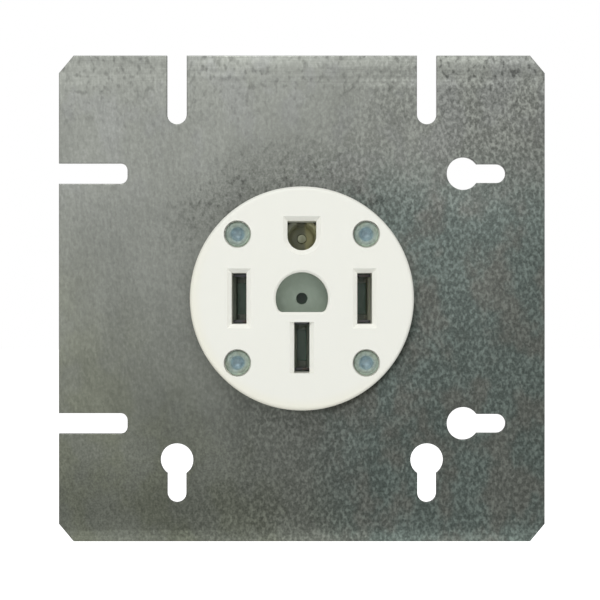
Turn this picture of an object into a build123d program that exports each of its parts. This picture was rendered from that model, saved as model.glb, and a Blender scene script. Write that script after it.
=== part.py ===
from build123d import *
import os

# A four-pole range receptacle riveted to a square steel box cover. Millimetres.
# X points right and Z up, as the outlet hangs on a wall, and the face looks along -Y.
# The origin is the centre of the mounting plate's back face, so +10 in Y is 10 mm
# inside the wall box. A depth, below, is a Y value.

# Mounting plate: one blanked sheet of galvanised steel
plate_side = 119.0
plate_thickness = 1.6
corner_clip_across = 3.6
corner_clip_up = 4.3
fixing_offset = 30.6
open_slot_length = 16.8
top_slot_width = 4.8
side_slot_width = 5.0
side_slot_corner = 1.7
keyhole_radius = 4.0
keyhole_centre = 39.5
keyhole_neck_width = 4.6
keyhole_tip = 49.9
tapped_hole_radius = 1.4
tapped_collar_wall = 1.2
tapped_collar_height = 1.2
blanked_edge_radius = 0.25

# Face: the white moulding in front of the plate
face_radius = 27.0
face_height = 8.0
face_edge_radius = 0.9
chute_wall = 1.3
chute_reach = 3.0
line_slot_offset = 15.14
line_slot_width = 3.6
neutral_slot_offset = 11.84
neutral_slot_width = 3.7
blade_slot_height = 12.3
ground_hole_offset = 15.1
ground_hole_radius = 3.5
ground_flat_height = 3.6
lead_in = 1.1
centre_recess_radius = 6.37
centre_recess_flat = 3.31
centre_recess_corner = 1.3
centre_recess_edge = 0.5

# Rivets: four semi-tubular rivets through face, plate and body flange
rivet_circle_radius = 21.92
first_rivet_angle = 45
rivet_shank_radius = 2.0
rivet_bowl_radius = 1.5
rivet_bowl_depth = 0.85
rivet_roll_radius = 3.0
rivet_roll_height = 1.2
rivet_recess_radius = 3.3
rivet_recess_depth = 1.9
rivet_head_radius = 3.3
rivet_head_height = 1.4
rivet_head_chamfer = 0.4

# Contacts: folded brass strip, a jaw for each blade and a cup for the ground pin
contact_thickness = 0.9
contact_gap = 2.4
contact_mouth_gap = 4.4
contact_width = 10.8
contact_window_length = 8.0
contact_front = 4.0
contact_throat_depth = 6.6
contact_seat_depth = 16.9
contact_bend_radius = 1.35
tail_offset = 19.0
tail_width = 7.4
tail_end_gap = 0.8
ground_cup_radius = 3.0
ground_cup_mouth_radius = 3.6
ground_cup_slit = 2.4

# Steel spring bands round the contacts
spring_thickness = 0.6
spring_front = 7.6
spring_length = 5.2

# Ground strap and the rivet that joins it to the ground cup
strap_rivet_radius = 0.95
strap_rivet_head_radius = 1.25
strap_rivet_head_height = 0.7
strap_rivet_head_edge = 0.2
strap_rivet_tail_radius = 1.6

# Terminals: box lugs with a slotted set screw, the same at all four poles
wire_space = 6.4
wire_space_width = 8.0
lug_inner_wall = 1.65
lug_outer_wall = 3.0
lug_side_wall = 1.5
lug_front_gap = 2.1
lug_edge_radius = 0.6
screw_radius = 3.0
screw_length = 5.0
screw_point_chamfer = 0.6
screw_slot_width = 1.0
screw_slot_depth = 1.6
screw_stand_off = 0.2

# Body: the dark moulding behind the plate
body_depth = 33.0
flange_margin = 1.2
flange_depth = 8.0
flange_edge_radius = 0.8
core_radius = 17.5
core_recess_depth = 6.0
arm_wall = 2.7
arm_end_wall = 2.7
arm_corner_radius = 3.0
arm_root_radius = 5.0
body_draft = 1.0
body_edge_radius = 0.9
body_back_wall = 4.0
wire_well_radius = 4.3
wire_well_chamfer = 1.2
screw_access_radius = 3.75
collar_recess_depth = 2.0
cover_screw_room_radius = 2.2
cover_screw_room_depth = 14.0

# Clearances
moulding_clearance = 0.3
rivet_clearance = 0.12
thread_clearance = 0.15
ring_clearance = 0.05

# Where the pieces meet, worked out from the sizes above
plate_front = -plate_thickness
face_front = plate_front - face_height
recess_floor = face_front + rivet_recess_depth
jaw_reach = contact_gap / 2 + contact_thickness
jaw_room = max(jaw_reach + spring_thickness, contact_mouth_gap / 2 + contact_thickness)
tail_outer = tail_offset + contact_thickness
lug_bore_outer = tail_outer + wire_space
lug_inner_face = tail_offset - lug_inner_wall
lug_outer_face = lug_bore_outer + lug_outer_wall
lug_half_width = wire_space_width / 2 + lug_side_wall
lug_front = contact_seat_depth + lug_front_gap
lug_back = body_depth - body_back_wall
tail_end = lug_back - tail_end_gap
wire_axis = tail_outer + wire_space / 2
screw_depth = (lug_front + lug_back) / 2
screw_point = lug_bore_outer + screw_stand_off
pocket_half_width = lug_half_width + moulding_clearance
pocket_outer = lug_outer_face + moulding_clearance
arm_half_width = pocket_half_width + arm_wall
arm_reach = pocket_outer + arm_end_wall
flange_radius = arm_reach + flange_margin
strap_front = contact_seat_depth - contact_thickness
ground_cup_wall_radius = ground_cup_radius + contact_thickness
strap_ear = (ground_hole_offset - ground_hole_radius - chute_wall
             - 2 * moulding_clearance - contact_thickness / 2)

# The way that each pole and rivet lies from the centre, in degrees from +X towards +Z
pole_angles = {"line_1": 180, "line_2": 0, "neutral": 270, "ground": 90}
rivet_places = ("upper_right", "upper_left", "lower_left", "lower_right")
rivet_angles = {place: first_rivet_angle + 360 / len(rivet_places) * index
                for index, place in enumerate(rivet_places)}


def at_depth(outline, depth):
    """An outline in X and Z, moved to a depth."""
    return Plane.XZ.offset(-depth) * outline


def slab(outline, front, back):
    """An outline in X and Z, made solid between two depths."""
    return extrude(at_depth(outline, back), back - front)


def sloped_hole(front_outline, back_outline, front, back):
    """A hole that changes evenly from one outline to another between two depths."""
    return loft([at_depth(front_outline, front).face(), at_depth(back_outline, back).face()])


def turned(shape, angle):
    """A solid that was made on the +X axis, turned about the Y axis towards +Z."""
    return Rot(0, -angle, 0) * shape


def at_pole(shape, pole):
    """A solid that was made on the +X axis, turned to its own pole."""
    return turned(shape, pole_angles[pole])


def at_rivets(outline):
    """Copies of an outline in the places of the four rivets."""
    return [Rot(0, 0, angle) * Pos(rivet_circle_radius, 0) * outline
            for angle in rivet_angles.values()]


def strip(path, width):
    """Sheet metal that follows a path in X and Y, and is centred on Z = 0."""
    return extrude(trace(path, contact_thickness), width / 2, both=True)


def span(low_x, high_x, half_z):
    """A rectangle in X and Z, symmetrical about the X axis."""
    return Pos((low_x + high_x) / 2, 0) * Rectangle(high_x - low_x, 2 * half_z)


def opening(pole, across=0, along=0):
    """A pole's hole for the plug, on the +X axis, grown across its width and along its length."""
    length = blade_slot_height + 2 * along
    if pole == "ground":
        radius = ground_hole_radius + across
        flat_end = span(0, ground_flat_height + across, radius)
        return Pos(ground_hole_offset, 0) * (Circle(radius) + flat_end)
    if pole == "neutral":
        return Pos(neutral_slot_offset, 0) * Rectangle(length, neutral_slot_width + 2 * across)
    return Pos(line_slot_offset, 0) * Rectangle(line_slot_width + 2 * across, length)


def openings(grow=0):
    """The holes for the plug, each grown by a wall or a clearance on every side."""
    return [Rot(0, 0, angle) * opening(pole, grow, grow) for pole, angle in pole_angles.items()]


def centre_recess_outline(grow=0):
    """The round recess in the middle of the face, with its flat below."""
    radius = centre_recess_radius + grow
    flat = centre_recess_flat + grow
    cut = Pos(0, -flat - radius) * Rectangle(2 * radius, 2 * radius)
    outline = Circle(radius) - cut
    return fillet(outline.vertices(), centre_recess_corner + grow)


def keyhole():
    """A keyhole on the +X axis, round towards the centre, with its neck outwards."""
    neck_end = keyhole_tip - keyhole_neck_width / 2
    neck = span(keyhole_centre, neck_end, keyhole_neck_width / 2)
    tip = Pos(neck_end, 0) * Circle(keyhole_neck_width / 2)
    return Pos(keyhole_centre, 0) * Circle(keyhole_radius) + neck + tip


def top_slot():
    """An open slot from the top edge, with a full round end, on the Z axis."""
    radius = top_slot_width / 2
    end = plate_side / 2 - open_slot_length + radius
    length = plate_side / 2 - end
    return Pos(0, end) * Circle(radius) + Pos(0, end + length / 2) * Rectangle(top_slot_width, length)


def side_slot():
    """An open slot from the left edge, with a squarer end, on the X axis."""
    end = plate_side / 2 - open_slot_length
    middle = -(end + open_slot_length / 2)
    outline = Pos(middle, 0) * Rectangle(open_slot_length, side_slot_width)
    return fillet(outline.vertices().sort_by(Axis.X)[-2:], side_slot_corner)


def make_mounting_plate():
    half = plate_side / 2
    clip = Pos(half, half) * Polygon((0, 0), (-corner_clip_across, 0), (0, -corner_clip_up), align=None)
    top_clips = clip + mirror(clip, Plane.YZ)
    outline = Rectangle(plate_side, plate_side) - top_clips - mirror(top_clips, Plane.XZ)
    for side in (-1, 1):
        outline -= Pos(fixing_offset * side, 0) * top_slot()
        outline -= Pos(0, fixing_offset * side) * side_slot()
        outline -= Pos(0, fixing_offset * side) * keyhole()
        outline -= Pos(fixing_offset * side, 0) * Rot(0, 0, -90) * keyhole()
    plate = slab(outline, plate_front, 0)
    plate = fillet(plate.edges().group_by(Axis.Y)[0], blanked_edge_radius)
    rivet_holes = at_rivets(Circle(rivet_shank_radius + rivet_clearance))
    for hole in openings(chute_wall + moulding_clearance) + rivet_holes:
        plate -= slab(hole, plate_front, 0)
    plate += slab(Circle(tapped_hole_radius + tapped_collar_wall), 0, tapped_collar_height)
    return plate - slab(Circle(tapped_hole_radius), plate_front, tapped_collar_height)


def lead_in_cut(pole):
    """The sloped entry of a pole's hole, on the +X axis. The neutral's ends are left square."""
    along = 0 if pole == "neutral" else lead_in
    wide = opening(pole, lead_in, along)
    return sloped_hole(wide, opening(pole), face_front, face_front + lead_in)


def make_front_moulding():
    """A thick disc, with a chute behind each opening that passes through the plate's window."""
    disc = slab(Circle(face_radius), face_front, plate_front)
    disc = fillet(disc.edges().group_by(Axis.Y)[0], face_edge_radius)
    for chute in openings(chute_wall):
        disc += slab(chute, plate_front, chute_reach)
    for hole in openings():
        disc -= slab(hole, face_front, chute_reach)
    disc -= slab(centre_recess_outline(), face_front, plate_front)
    disc -= sloped_hole(centre_recess_outline(centre_recess_edge), centre_recess_outline(),
                        face_front, face_front + centre_recess_edge)
    for recess in at_rivets(Circle(rivet_recess_radius)):
        disc -= slab(recess, face_front, recess_floor)
    for hole in at_rivets(Circle(rivet_shank_radius + rivet_clearance)):
        disc -= slab(hole, recess_floor, plate_front)
    for pole in pole_angles:
        disc -= at_pole(lead_in_cut(pole), pole)
    return disc


def make_rivet():
    """A rivet on the Y axis: the head is behind the flange and the rolled end is in its recess."""
    roll_top = recess_floor - rivet_roll_height
    roll_middle = (rivet_bowl_radius + rivet_roll_radius) / 2
    head_back = flange_depth + rivet_head_height
    lip = recess_floor - rivet_roll_height / 2
    bowl_floor = lip + rivet_bowl_depth
    bowl = TangentArc((0, bowl_floor), (rivet_bowl_radius, lip), tangent=(1, 0))
    roll = ThreePointArc((rivet_bowl_radius, lip), (roll_middle, roll_top), (rivet_roll_radius, lip))
    rest = Polyline(
        (rivet_roll_radius, lip),
        (rivet_roll_radius, recess_floor),
        (rivet_shank_radius, recess_floor),
        (rivet_shank_radius, flange_depth),
        (rivet_head_radius, flange_depth),
        (rivet_head_radius, head_back - rivet_head_chamfer),
        (rivet_head_radius - rivet_head_chamfer, head_back),
        (0, head_back),
        (0, bowl_floor),
    )
    return revolve(make_face(bowl + roll + rest), Axis.Y)


def contact_jaw():
    """A U of brass about the Y axis that grips a blade, with its mouth flared open."""
    base = contact_seat_depth - contact_thickness / 2
    leaf = (contact_gap + contact_thickness) / 2
    mouth = (contact_mouth_gap + contact_thickness) / 2
    path = FilletPolyline(
        (-mouth, contact_front),
        (-leaf, contact_throat_depth),
        (-leaf, base),
        (leaf, base),
        (leaf, contact_throat_depth),
        (mouth, contact_front),
        radius=contact_bend_radius,
    )
    return strip(path, contact_width)


def tail_path(start):
    """Out from a start point along the seats' level, then down behind the wire in the lug."""
    base = contact_seat_depth - contact_thickness / 2
    tail = tail_offset + contact_thickness / 2
    return [*start, (tail, base), (tail, tail_end)]


def make_blade_contact(offset, turn):
    """A jaw at a distance along the pole, with its floor pierced, and the tail that joins it to its lug."""
    base = contact_seat_depth - contact_thickness / 2
    path = FilletPolyline(*tail_path([(offset, base)]), radius=contact_bend_radius)
    window = slab(Rectangle(contact_gap, contact_window_length), contact_throat_depth, contact_seat_depth)
    jaw_place = Pos(offset, 0, 0) * Rot(0, turn, 0)
    return jaw_place * contact_jaw() + strip(path, tail_width) - jaw_place * window


def make_ground_contact():
    """A brass cup with a flared mouth, slit on its outer side so that it can grip the pin."""
    wall = ground_cup_radius + contact_thickness / 2
    mouth = ground_cup_mouth_radius + contact_thickness / 2
    base = strap_front - contact_thickness / 2
    path = FilletPolyline(
        (mouth, contact_front),
        (wall, contact_throat_depth),
        (wall, base),
        (0, base),
        radius=contact_bend_radius,
    )
    cup = revolve(trace(path, contact_thickness), Axis.Y)
    slit = slab(span(0, 2 * ground_cup_mouth_radius, ground_cup_slit / 2), 0, base - contact_bend_radius)
    cup -= slit - slab(Circle(ground_cup_radius / 2), 0, base)
    cup -= slab(Circle(strap_rivet_radius + ring_clearance), 0, strap_front)
    return Pos(ground_hole_offset, 0, 0) * cup


def make_ground_strap():
    """A strap under the cup: an ear against the plate's back, and a tail in the lug."""
    base = contact_seat_depth - contact_thickness / 2
    path = FilletPolyline(*tail_path([(strap_ear, 0), (strap_ear, base)]), radius=contact_bend_radius)
    hole = slab(Circle(strap_rivet_radius + ring_clearance), 0, contact_seat_depth)
    return strip(path, tail_width) - Pos(ground_hole_offset, 0, 0) * hole


def make_ground_rivet():
    """The small rivet through the cup's floor and the strap."""
    head = strap_front - contact_thickness
    rivet = slab(Circle(strap_rivet_radius), head, contact_seat_depth)
    rivet += slab(Circle(strap_rivet_head_radius), head - strap_rivet_head_height, head)
    rivet += slab(Circle(strap_rivet_tail_radius), contact_seat_depth,
                  contact_seat_depth + strap_rivet_head_height)
    rivet = fillet(rivet.edges().group_by(Axis.Y)[0], strap_rivet_head_edge)
    return Pos(ground_hole_offset, 0, 0) * rivet


def make_blade_spring():
    """A closed steel band round a jaw, about the Y axis."""
    inner = Rectangle(2 * jaw_reach, contact_width)
    outer = Rectangle(2 * (jaw_reach + spring_thickness), contact_width + 2 * spring_thickness)
    outer = fillet(outer.vertices(), spring_thickness)
    return slab(outer - inner, spring_front, spring_front + spring_length)


def make_ground_spring():
    """A steel ring round the ground cup, split on the same side."""
    inner = ground_cup_wall_radius + ring_clearance
    ring = Circle(inner + spring_thickness) - Circle(inner)
    ring -= span(0, 2 * inner, ground_cup_slit / 2)
    return Pos(ground_hole_offset, 0, 0) * slab(ring, spring_front, spring_front + spring_length)


def make_lug():
    """A square tube that takes the wire and the contact's tail, tapped in its thick outer wall."""
    lug = slab(span(lug_inner_face, lug_outer_face, lug_half_width), lug_front, lug_back)
    lug = fillet(lug.edges().filter_by(Axis.Y), lug_edge_radius)
    lug -= slab(span(tail_offset, lug_bore_outer, wire_space_width / 2), lug_front, lug_back)
    return lug - radial_hole(screw_radius + thread_clearance, lug_bore_outer, lug_outer_face)


def radial_hole(radius, start, end):
    """A round solid on a set screw's axis, between two distances from the centre."""
    return extrude(Plane.YZ.offset(start) * Pos(screw_depth, 0) * Circle(radius), end - start)


def make_screw():
    """A headless set screw, backed out so that its point is clear of the wire space."""
    end = screw_point + screw_length
    screw = radial_hole(screw_radius, screw_point, end)
    screw = chamfer(screw.edges().group_by(Axis.X)[0], screw_point_chamfer)
    slot = Plane.YZ.offset(end - screw_slot_depth) * Pos(screw_depth, 0)
    return screw - extrude(slot * Rectangle(2 * screw_radius, screw_slot_width), screw_slot_depth)


def body_tower():
    """The cross of four terminal arms on a round core, drafted so that it leaves the mould."""
    arms = Rectangle(2 * arm_reach, 2 * arm_half_width) + Rectangle(2 * arm_half_width, 2 * arm_reach)
    cross = arms + Circle(core_radius)
    corners_and_roots = cross.vertices().sort_by_distance((0, 0, 0))
    cross = fillet(corners_and_roots[8:], arm_corner_radius)
    cross = fillet(cross.vertices().sort_by_distance((0, 0, 0))[:8], arm_root_radius)
    rear = Plane(origin=(0, 0, 0), x_dir=(1, 0, 0), z_dir=(0, 1, 0))
    tower = extrude(rear * cross, body_depth, taper=body_draft)
    return fillet(tower.edges().group_by(Axis.Y)[-1], body_edge_radius)


def pole_pockets(pole):
    """The room that one pole needs in the body, on the +X axis."""
    room = slab(span(lug_inner_face - moulding_clearance, pocket_outer, pocket_half_width), 0, lug_back)
    if pole == "ground":
        cup = ground_cup_wall_radius + ring_clearance + spring_thickness + moulding_clearance
        strap = span(strap_ear - contact_thickness / 2 - moulding_clearance, pocket_outer,
                     tail_width / 2 + moulding_clearance)
        room += slab(Pos(ground_hole_offset, 0) * Circle(cup) + strap, 0, contact_seat_depth)
        rivet = Circle(strap_rivet_tail_radius + moulding_clearance)
        room += slab(Pos(ground_hole_offset, 0) * rivet, 0,
                     contact_seat_depth + strap_rivet_head_height + moulding_clearance)
    elif pole == "neutral":
        along = contact_width / 2 + spring_thickness + moulding_clearance
        across = max(tail_width / 2, jaw_room) + moulding_clearance
        room += slab(span(neutral_slot_offset - along, pocket_outer, across), 0, contact_seat_depth)
    else:
        along = jaw_room + moulding_clearance
        across = contact_width / 2 + spring_thickness + moulding_clearance
        jaw = span(line_slot_offset - along, line_slot_offset + along, across)
        room += slab(jaw, 0, contact_seat_depth)
    well = Circle(wire_well_radius)
    room += slab(Pos(wire_axis, 0) * well, lug_back, body_depth)
    mouth = sloped_hole(well, Circle(wire_well_radius + wire_well_chamfer),
                        body_depth - wire_well_chamfer, body_depth)
    room += Pos(wire_axis, 0, 0) * mouth
    return room + radial_hole(screw_access_radius, lug_outer_face, arm_reach)


def make_body():
    flange = slab(Circle(flange_radius), 0, flange_depth)
    flange = fillet(flange.edges().group_by(Axis.Y)[-1], flange_edge_radius)
    body = flange + body_tower()
    core_recess = Circle(lug_inner_face - moulding_clearance - arm_wall)
    body -= slab(core_recess, body_depth - core_recess_depth, body_depth)
    for pole in pole_angles:
        body -= at_pole(pole_pockets(pole), pole)
    for chute in openings(chute_wall + moulding_clearance):
        body -= slab(chute, 0, chute_reach + moulding_clearance)
    collar = tapped_hole_radius + tapped_collar_wall + moulding_clearance
    body -= slab(Circle(collar), 0, collar_recess_depth)
    body -= slab(Circle(cover_screw_room_radius), 0, cover_screw_room_depth)
    for hole in at_rivets(Circle(rivet_shank_radius + rivet_clearance)):
        body -= slab(hole, 0, flange_depth)
    return body


def make_parts():
    """Every piece by its node's name, where it lies in the finished receptacle."""
    line_contact = make_blade_contact(line_slot_offset, turn=0)
    neutral_contact = make_blade_contact(neutral_slot_offset, turn=90)
    line_spring = Pos(line_slot_offset, 0, 0) * make_blade_spring()
    neutral_spring = Pos(neutral_slot_offset, 0, 0) * Rot(0, 90, 0) * make_blade_spring()
    parts = {
        "mounting_plate": make_mounting_plate(),
        "face": make_front_moulding(),
        "body": make_body(),
        "neutral_contact": at_pole(neutral_contact, "neutral"),
        "neutral_spring": at_pole(neutral_spring, "neutral"),
        "ground_contact": at_pole(make_ground_contact(), "ground"),
        "ground_spring": at_pole(make_ground_spring(), "ground"),
        "ground_strap": at_pole(make_ground_strap(), "ground"),
        "ground_rivet": at_pole(make_ground_rivet(), "ground"),
    }
    for line in ("line_1", "line_2"):
        parts[f"{line}_contact"] = at_pole(line_contact, line)
        parts[f"{line}_spring"] = at_pole(line_spring, line)
    for pole in pole_angles:
        parts[f"{pole}_lug"] = at_pole(make_lug(), pole)
        parts[f"{pole}_screw"] = at_pole(make_screw(), pole)
    rivet = Pos(rivet_circle_radius, 0, 0) * make_rivet()
    for place, angle in rivet_angles.items():
        parts[f"rivet_{place}"] = turned(rivet, angle)
    return parts


os.makedirs("parts", exist_ok=True)
for node, shape in make_parts().items():
    export_step(shape, f"parts/{node}.step")
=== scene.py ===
import math

import bmesh
import bpy
from bpy.props import FloatProperty, FloatVectorProperty, IntProperty, PointerProperty
from mathutils import Matrix, Vector


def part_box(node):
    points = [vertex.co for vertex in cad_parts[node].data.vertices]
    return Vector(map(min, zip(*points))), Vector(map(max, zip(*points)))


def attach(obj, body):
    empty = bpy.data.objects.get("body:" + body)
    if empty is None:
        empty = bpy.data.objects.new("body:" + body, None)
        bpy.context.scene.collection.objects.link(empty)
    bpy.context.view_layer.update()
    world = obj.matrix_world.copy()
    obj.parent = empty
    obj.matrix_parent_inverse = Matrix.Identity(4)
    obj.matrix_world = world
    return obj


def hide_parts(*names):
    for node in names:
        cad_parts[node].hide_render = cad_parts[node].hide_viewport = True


bl_info = {
    "name": "Range Receptacle Finish",
    "version": (1, 0, 0),
    "blender": (4, 5, 0),
    "location": "View3D > Sidebar > Receptacle",
    "description": "Finishes, threads and studio for a range receptacle on a steel box cover",
    "category": "Object",
}

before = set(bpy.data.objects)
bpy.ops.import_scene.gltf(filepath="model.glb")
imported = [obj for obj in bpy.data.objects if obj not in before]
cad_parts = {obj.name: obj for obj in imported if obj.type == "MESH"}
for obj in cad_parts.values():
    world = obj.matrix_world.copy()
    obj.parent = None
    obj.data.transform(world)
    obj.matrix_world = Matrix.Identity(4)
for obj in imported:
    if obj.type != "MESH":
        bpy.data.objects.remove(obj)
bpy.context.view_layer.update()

PLATE_LOW, PLATE_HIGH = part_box("mounting_plate")
FACE_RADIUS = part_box("face")[1].x
POLES = {"line_1": 180, "line_2": 0, "neutral": 270, "ground": 90}
LAMPS = (
    # name, place, side, shows in gloss
    ("key", (-0.14, -0.75, 0.60), 0.5, True),
    ("fill", (0.70, -0.60, -0.10), 0.6, True),
    ("front", (-0.03, -0.62, 0.03), 0.12, False),
    ("rear", (0.45, 0.75, 0.60), 0.6, True),
)


# Property groups: the sizes and colours that a user would change

class StageSettings(bpy.types.PropertyGroup):
    camera_distance: FloatProperty(
        name="Camera distance",
        description="From the camera to the front of the mounting plate",
        default=0.4446, unit="LENGTH")
    view_width: FloatProperty(
        name="View width",
        description="Width of the picture where it meets the mounting plate",
        default=0.1469, unit="LENGTH")
    camera_across: FloatProperty(
        name="Camera across", description="Camera's place along X", default=-0.00045, unit="LENGTH")
    camera_up: FloatProperty(
        name="Camera up", description="Camera's place along Z", default=-0.00037, unit="LENGTH")
    ambient: FloatProperty(
        name="Ambient", description="Strength of the world on surfaces", default=0.48, min=0)
    key_power: FloatProperty(
        name="Key power", description="Power of the soft lamp at the upper left", default=4.2, unit="POWER")
    fill_power: FloatProperty(
        name="Fill power", description="Power of the lamp at the right", default=0.7, unit="POWER")
    front_power: FloatProperty(
        name="Front power", description="Power of the lamp that reaches into the slots",
        default=0.42, unit="POWER")
    rear_power: FloatProperty(
        name="Rear power", description="Power of the lamp behind the plate", default=3.2, unit="POWER")
    floor_level: FloatProperty(
        name="Floor level", description="Height of the floor", default=-0.12, unit="LENGTH")
    floor_radius: FloatProperty(
        name="Floor radius", description="From the floor's middle to its rim", default=4.0, unit="LENGTH")
    floor_tone: FloatVectorProperty(
        name="Floor tone", description="Paint of the floor", default=(0.80, 0.80, 0.80), subtype="COLOR")
    floor_glow: FloatProperty(
        name="Floor glow", description="What the camera sees on top of the light on the floor",
        default=0.72, min=0)


class ZincSettings(bpy.types.PropertyGroup):
    # Painted light and shade: the lit tone is the zinc made pale as if by the lamp at the upper left, the
    # shaded tone the zinc darkened at the lower right away from it.
    lit_tone: FloatVectorProperty(
        name="Light tone", description="Zinc at the upper left, where the coat is even",
        default=(0.222, 0.231, 0.210), subtype="COLOR")
    shaded_tone: FloatVectorProperty(
        name="Dark tone", description="Zinc at the lower right, where the spangle is coarse",
        default=(0.080, 0.086, 0.076), subtype="COLOR")
    teal_tint: FloatVectorProperty(
        name="Teal tint", description="Tint of the patches that lean to blue green",
        default=(0.915, 1.040, 1.060), subtype="COLOR")
    violet_tint: FloatVectorProperty(
        name="Violet tint", description="Tint of the patches that lean to violet",
        default=(1.005, 1.000, 1.030), subtype="COLOR")
    olive_tint: FloatVectorProperty(
        name="Olive tint", description="Tint of the patches at the lower left",
        default=(0.985, 0.990, 0.870), subtype="COLOR")
    # Painted shadow that the face casts on the zinc along its lower right rim.
    rim_shadow_tint: FloatVectorProperty(
        name="Rim tint", description="Tint of the dull line at the lower right of the face's rim",
        default=(0.44, 0.43, 0.41), subtype="COLOR")
    # Painted light: lighter, greener zinc that lifts the shade under the face's centre recess.
    painted_centre_light: FloatVectorProperty(
        name="Centre tone", description="Clean zinc under the face's centre recess",
        default=(0.208, 0.250, 0.206), subtype="COLOR")
    edge_tone: FloatVectorProperty(
        name="Edge tone", description="Bare steel on the sheared edges",
        default=(0.095, 0.092, 0.085), subtype="COLOR")
    patch_size: FloatProperty(
        name="Patch size", description="Width of a tinted patch", default=0.009, unit="LENGTH")
    fleck_size: FloatProperty(
        name="Fleck size", description="Width of a fleck of the spangle", default=0.00085, unit="LENGTH")
    contrast: FloatProperty(
        name="Contrast", description="How much the flecks stand out where the spangle is coarse",
        default=0.72, min=0, max=1)
    least_contrast: FloatProperty(
        name="Least contrast", description="How much the flecks stand out where the coat is even",
        default=0.15, min=0, max=1)


class MouldingSettings(bpy.types.PropertyGroup):
    face_tone: FloatVectorProperty(
        name="Face tone", description="White of the face",
        default=(0.775, 0.782, 0.725), subtype="COLOR")
    # Cream of the grain, and painted shade on the face's rounded rim at the lower left.
    face_cream_and_shade_tone: FloatVectorProperty(
        name="Warm tone", description="Cream that shows towards the face's rim",
        default=(0.780, 0.762, 0.630), subtype="COLOR")
    # Painted light on the lead-in slopes round the blade slots and on the centre recess, but not on slopes
    # that face down.
    lit_slope_tone: FloatVectorProperty(
        name="Lead-in tone", description="Whiter, polished slopes round the blade slots",
        default=(0.865, 0.865, 0.800), subtype="COLOR")
    body_tone: FloatVectorProperty(
        name="Body tone", description="Dark phenolic of the body",
        default=(0.020, 0.021, 0.020), subtype="COLOR")
    body_dust_tone: FloatVectorProperty(
        name="Body dust tone", description="Pale bloom on the body",
        default=(0.045, 0.045, 0.042), subtype="COLOR")
    # Greenish dust and painted sheen on the front-facing floors of the contacts' pockets.
    pocket_dust_and_sheen_tone: FloatVectorProperty(
        name="Pocket tone", description="Greenish dust on the polished floors of the contacts' pockets",
        default=(0.080, 0.200, 0.105), subtype="COLOR")
    grain_size: FloatProperty(
        name="Grain size", description="Width of the mould's fine grain", default=0.0004, unit="LENGTH")


class MetalSettings(bpy.types.PropertyGroup):
    # Brass rubbed clean by the ground pin, with a painted glint on the right of the cup.
    rubbed_brass_and_glint_tone: FloatVectorProperty(
        name="Brass tone", description="Brass that the ground pin has rubbed clean",
        default=(0.970, 0.930, 0.540), subtype="COLOR")
    rear_brass_tone: FloatVectorProperty(
        name="Rear brass tone", description="Rolled brass behind the jaws, out of the air's way",
        default=(0.420, 0.370, 0.180), subtype="COLOR")
    tarnish_tone: FloatVectorProperty(
        name="Tarnish tone", description="Olive oxide on the ground cup and its strap",
        default=(0.560, 0.585, 0.460), subtype="COLOR")
    jaw_tarnish_tone: FloatVectorProperty(
        name="Jaw tarnish tone", description="Greenish grey bloom on the blade contacts",
        default=(0.500, 0.560, 0.490), subtype="COLOR")
    # Painted highlight on the outer leaf of the right slot's blade contact.
    lit_jaw_tone: FloatVectorProperty(
        name="Rubbed jaw tone", description="The leaf of a blade contact that plugs have rubbed",
        default=(0.880, 0.880, 0.720), subtype="COLOR")
    rivet_tone: FloatVectorProperty(
        name="Rivet tone", description="Clear bluish zinc plate",
        default=(0.200, 0.275, 0.305), subtype="COLOR")
    rivet_haze_tone: FloatVectorProperty(
        name="Rivet haze tone", description="Greenish haze on the zinc plate",
        default=(0.230, 0.275, 0.220), subtype="COLOR")
    cup_rivet_tone: FloatVectorProperty(
        name="Cup rivet tone", description="Dulled head of the rivet in the ground cup",
        default=(0.420, 0.440, 0.320), subtype="COLOR")
    tin_tone: FloatVectorProperty(
        name="Tin tone", description="Tin plate of the lugs",
        default=(0.560, 0.560, 0.540), subtype="COLOR")
    spring_tone: FloatVectorProperty(
        name="Spring tone", description="Blued spring steel",
        default=(0.160, 0.165, 0.175), subtype="COLOR")
    straw_tone: FloatVectorProperty(
        name="Straw tone", description="Faint straw blotches on the spring steel",
        default=(0.190, 0.160, 0.130), subtype="COLOR")
    dull_tint: FloatVectorProperty(
        name="Dull tint", description="Tint of the blotches on tin and zinc plate",
        default=(0.55, 0.54, 0.50), subtype="COLOR")
    screw_tone: FloatVectorProperty(
        name="Screw tone", description="Zinc-plated screw steel",
        default=(0.430, 0.430, 0.420), subtype="COLOR")


class ScrewSettings(bpy.types.PropertyGroup):
    pitch: FloatProperty(
        name="Pitch", description="From one thread to the next", default=0.001, unit="LENGTH")
    thread_depth: FloatProperty(
        name="Thread depth", description="Crest to root of the thread", default=0.00045, unit="LENGTH")
    slot_width: FloatProperty(
        name="Slot width", description="Width of the driver slot", default=0.001, unit="LENGTH")
    slot_depth: FloatProperty(
        name="Slot depth", description="Depth of the driver slot", default=0.0016, unit="LENGTH")
    chamfer: FloatProperty(
        name="Chamfer", description="Bevel at each end", default=0.0005, unit="LENGTH")
    sides: IntProperty(
        name="Sides", description="Points round one turn", default=64, min=12)
    rings: IntProperty(
        name="Rings", description="Rings of points in one pitch", default=10, min=4)
    sharp_angle: FloatProperty(
        name="Sharp angle", description="Edges steeper than this stay sharp",
        default=math.radians(35), subtype="ANGLE")


# Building nodes

def put(tree, socket, value):
    """Link a socket to another node's output, or set its value."""
    if isinstance(value, bpy.types.NodeSocket):
        tree.links.new(value, socket)
    elif hasattr(value, "__len__") and len(value) == 3 and socket.type == "RGBA":
        socket.default_value = (*value, 1)
    else:
        socket.default_value = value


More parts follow.
